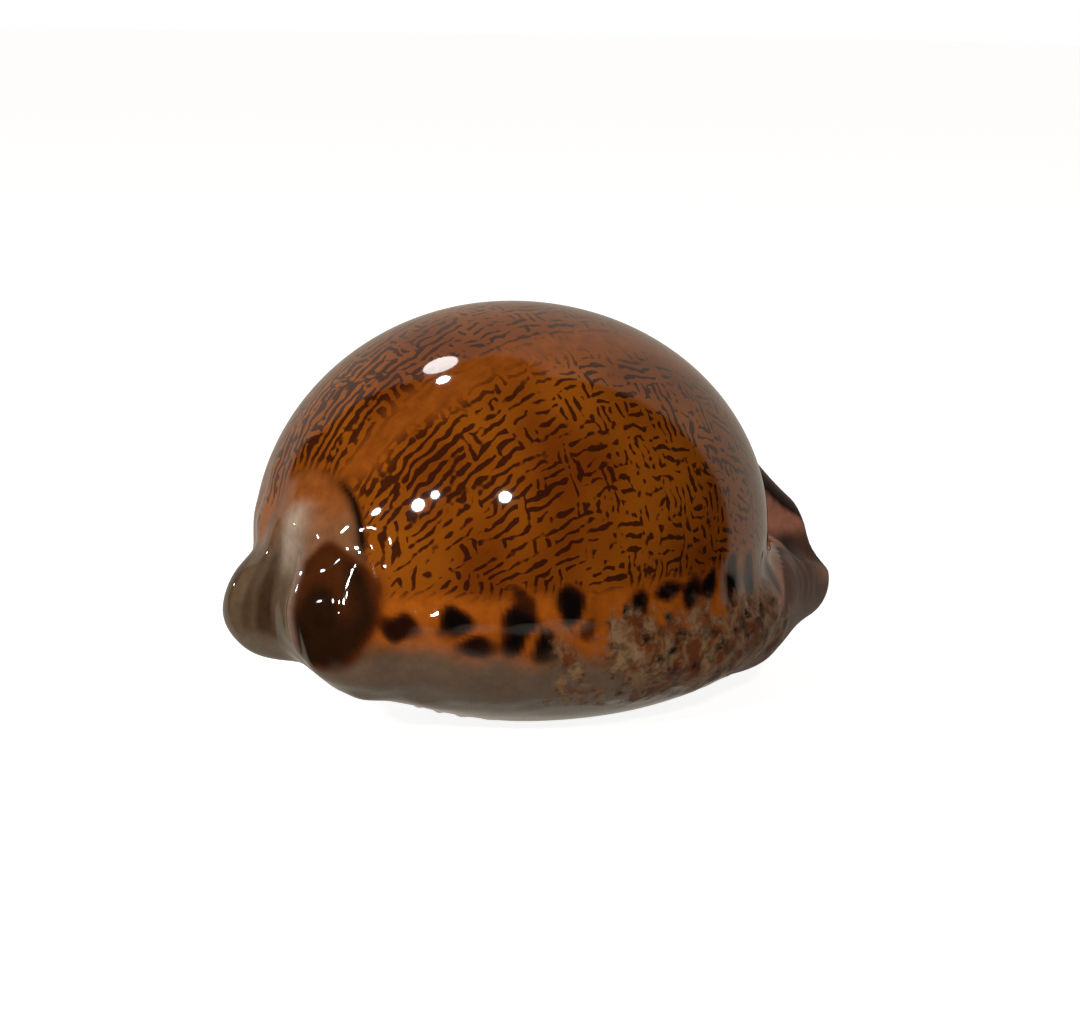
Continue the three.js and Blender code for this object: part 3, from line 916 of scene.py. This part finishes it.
def facing(azimuth, elevation):
    # unit vector towards an azimuth (0 is -Y, 90 is +X) and elevation, in degrees
    a, e = math.radians(azimuth), math.radians(elevation)
    return np.array([math.sin(a) * math.cos(e), -math.cos(a) * math.cos(e), math.sin(e)])


def buildFloor():
    # a wide square, matte white, that shows evenly lit to the camera and isn't mirrored in the glaze
    half = studio["floorHalf"]
    corners = [(-half, -half, 0), (half, -half, 0), (half, half, 0), (-half, half, 0)]
    floorMesh = bpy.data.meshes.new("studioFloor")
    floorMesh.from_pydata(corners, [], [(0, 1, 2, 3)])
    floor = bpy.data.objects.new("studioFloor", floorMesh)
    bpy.context.collection.objects.link(floor)
    paint = bpy.data.materials.new("matteWhiteTableCoating")
    paint.use_nodes = True
    tree = paint.node_tree
    tree.nodes.clear()
    seen = addNode(tree, "LightPath", {}, {})["Is Camera Ray"]
    glow = addNode(tree, "Math", {"operation": "MULTIPLY"}, {0: seen, 1: studio["floorGlow"]})[0]
    surface = addNode(tree, "BsdfPrincipled", {}, {
        "Base Color": linearColour(studio["floorColour"]), "Roughness": studio["floorRoughness"],
        "Specular IOR Level": studio["floorShine"], "Emission Color": (1, 1, 1, 1),
        "Emission Strength": glow})["BSDF"]
    addNode(tree, "OutputMaterial", {}, {"Surface": surface})
    floorMesh.materials.append(paint)
    floor.visible_glossy = False


def buildWorld():
    # a wide warm white wall behind and to the right, a dark room in front, and bright low down
    world = bpy.data.worlds.new("studioRoom")
    bpy.context.scene.world = world
    world.use_nodes = True
    tree = world.node_tree
    tree.nodes.clear()
    toward = addNode(tree, "TexCoord", {}, {})["Generated"]
    parts = addNode(tree, "SeparateXYZ", {}, {0: toward})
    level = addNode(tree, "CombineXYZ", {}, {0: parts[0], 1: parts[1], 2: 0.0})[0]
    level = addNode(tree, "VectorMath", {"operation": "NORMALIZE"}, {0: level})[0]
    wall = tuple(facing(studio["wallAzimuth"], 0))
    lined = addNode(tree, "VectorMath", {"operation": "DOT_PRODUCT"}, {0: level, 1: wall})["Value"]
    shares = []
    for value, name in ((lined, "wallEdge"), (parts[2], "wallTop"), (parts[2], "underTop")):
        shares.append(addNode(tree, "MapRange", {"interpolation_type": "SMOOTHSTEP"}, {
            "Value": value, "From Min": studio[name][0], "From Max": studio[name][1]})[0])
    sideways, below, under = shares
    panel = addNode(tree, "Math", {"operation": "MULTIPLY"}, {0: sideways, 1: below})[0]
    panel = addNode(tree, "Math", {"operation": "MAXIMUM"}, {0: panel, 1: under})[0]
    strength = addNode(tree, "MapRange", {}, {
        "Value": panel, "To Min": studio["frontShare"], "To Max": studio["panelShare"]})[0]
    seen = addNode(tree, "LightPath", {}, {})["Is Camera Ray"]
    strength = addNode(tree, "Mix", {"data_type": "FLOAT"}, {0: seen, 2: strength, 3: 1.0})[0]
    colour = addNode(tree, "Mix", {"data_type": "RGBA"}, {
        0: seen, 6: linearColour(studio["wallColour"]), 7: (1, 1, 1, 1)})[2]
    glow = addNode(tree, "Background", {}, {"Color": colour, "Strength": strength})["Background"]
    addNode(tree, "OutputWorld", {}, {"Surface": glow})


def buildLamps():
    # round lamps that face the shell from a fixed distance
    for i, (azimuth, elevation, width, watts) in enumerate(studio["lamps"]):
        light = bpy.data.lights.new(f"lamp{i}", "AREA")
        light.shape = "DISK"
        light.size = width
        light.energy = watts
        lamp = bpy.data.objects.new(f"lamp{i}", light)
        away = facing(azimuth, elevation)
        lamp.location = np.array(studio["lampCentre"]) + away * studio["lampDistance"]
        lamp.rotation_euler = Vector(away).to_track_quat("Z", "Y").to_euler()
        bpy.context.collection.objects.link(lamp)


camera = {
    "azimuth": -38.0,
    "elevation": 10.5,
    "roll": -1.2,
    "target": (-0.6, 0.0, 20.5),    # millimetres, from the shell's own origin
    "distance": 0.290,              # metres
    "sensorWidth": 36.0,
    "lens": 89.6,
    "clipStart": 0.01,
}


def buildCamera():
    # stands off from the target along its azimuth and elevation, rolled about that line
    data = bpy.data.cameras.new("camera")
    data.sensor_width = camera["sensorWidth"]
    data.lens = camera["lens"]
    data.clip_start = camera["clipStart"]
    back = facing(camera["azimuth"], camera["elevation"])
    azimuth, roll = math.radians(camera["azimuth"]), math.radians(camera["roll"])
    right = np.array([math.cos(azimuth), math.sin(azimuth), 0])
    up = np.cross(back, right)
    matrix = np.eye(4)
    matrix[:3, 0] = right * math.cos(roll) - up * math.sin(roll)
    matrix[:3, 1] = right * math.sin(roll) + up * math.cos(roll)
    matrix[:3, 2] = back
    target = (np.array(camera["target"]) - np.append(middle, 0)) * millimetre
    matrix[:3, 3] = target + back * camera["distance"]
    viewer = bpy.data.objects.new("camera", data)
    viewer.matrix_world = Matrix(matrix.tolist())
    bpy.context.collection.objects.link(viewer)
    bpy.context.scene.camera = viewer


buildFloor()
buildWorld()
buildLamps()
buildCamera()
bpy.context.scene.view_settings.view_transform = "Standard"
print("stage done")
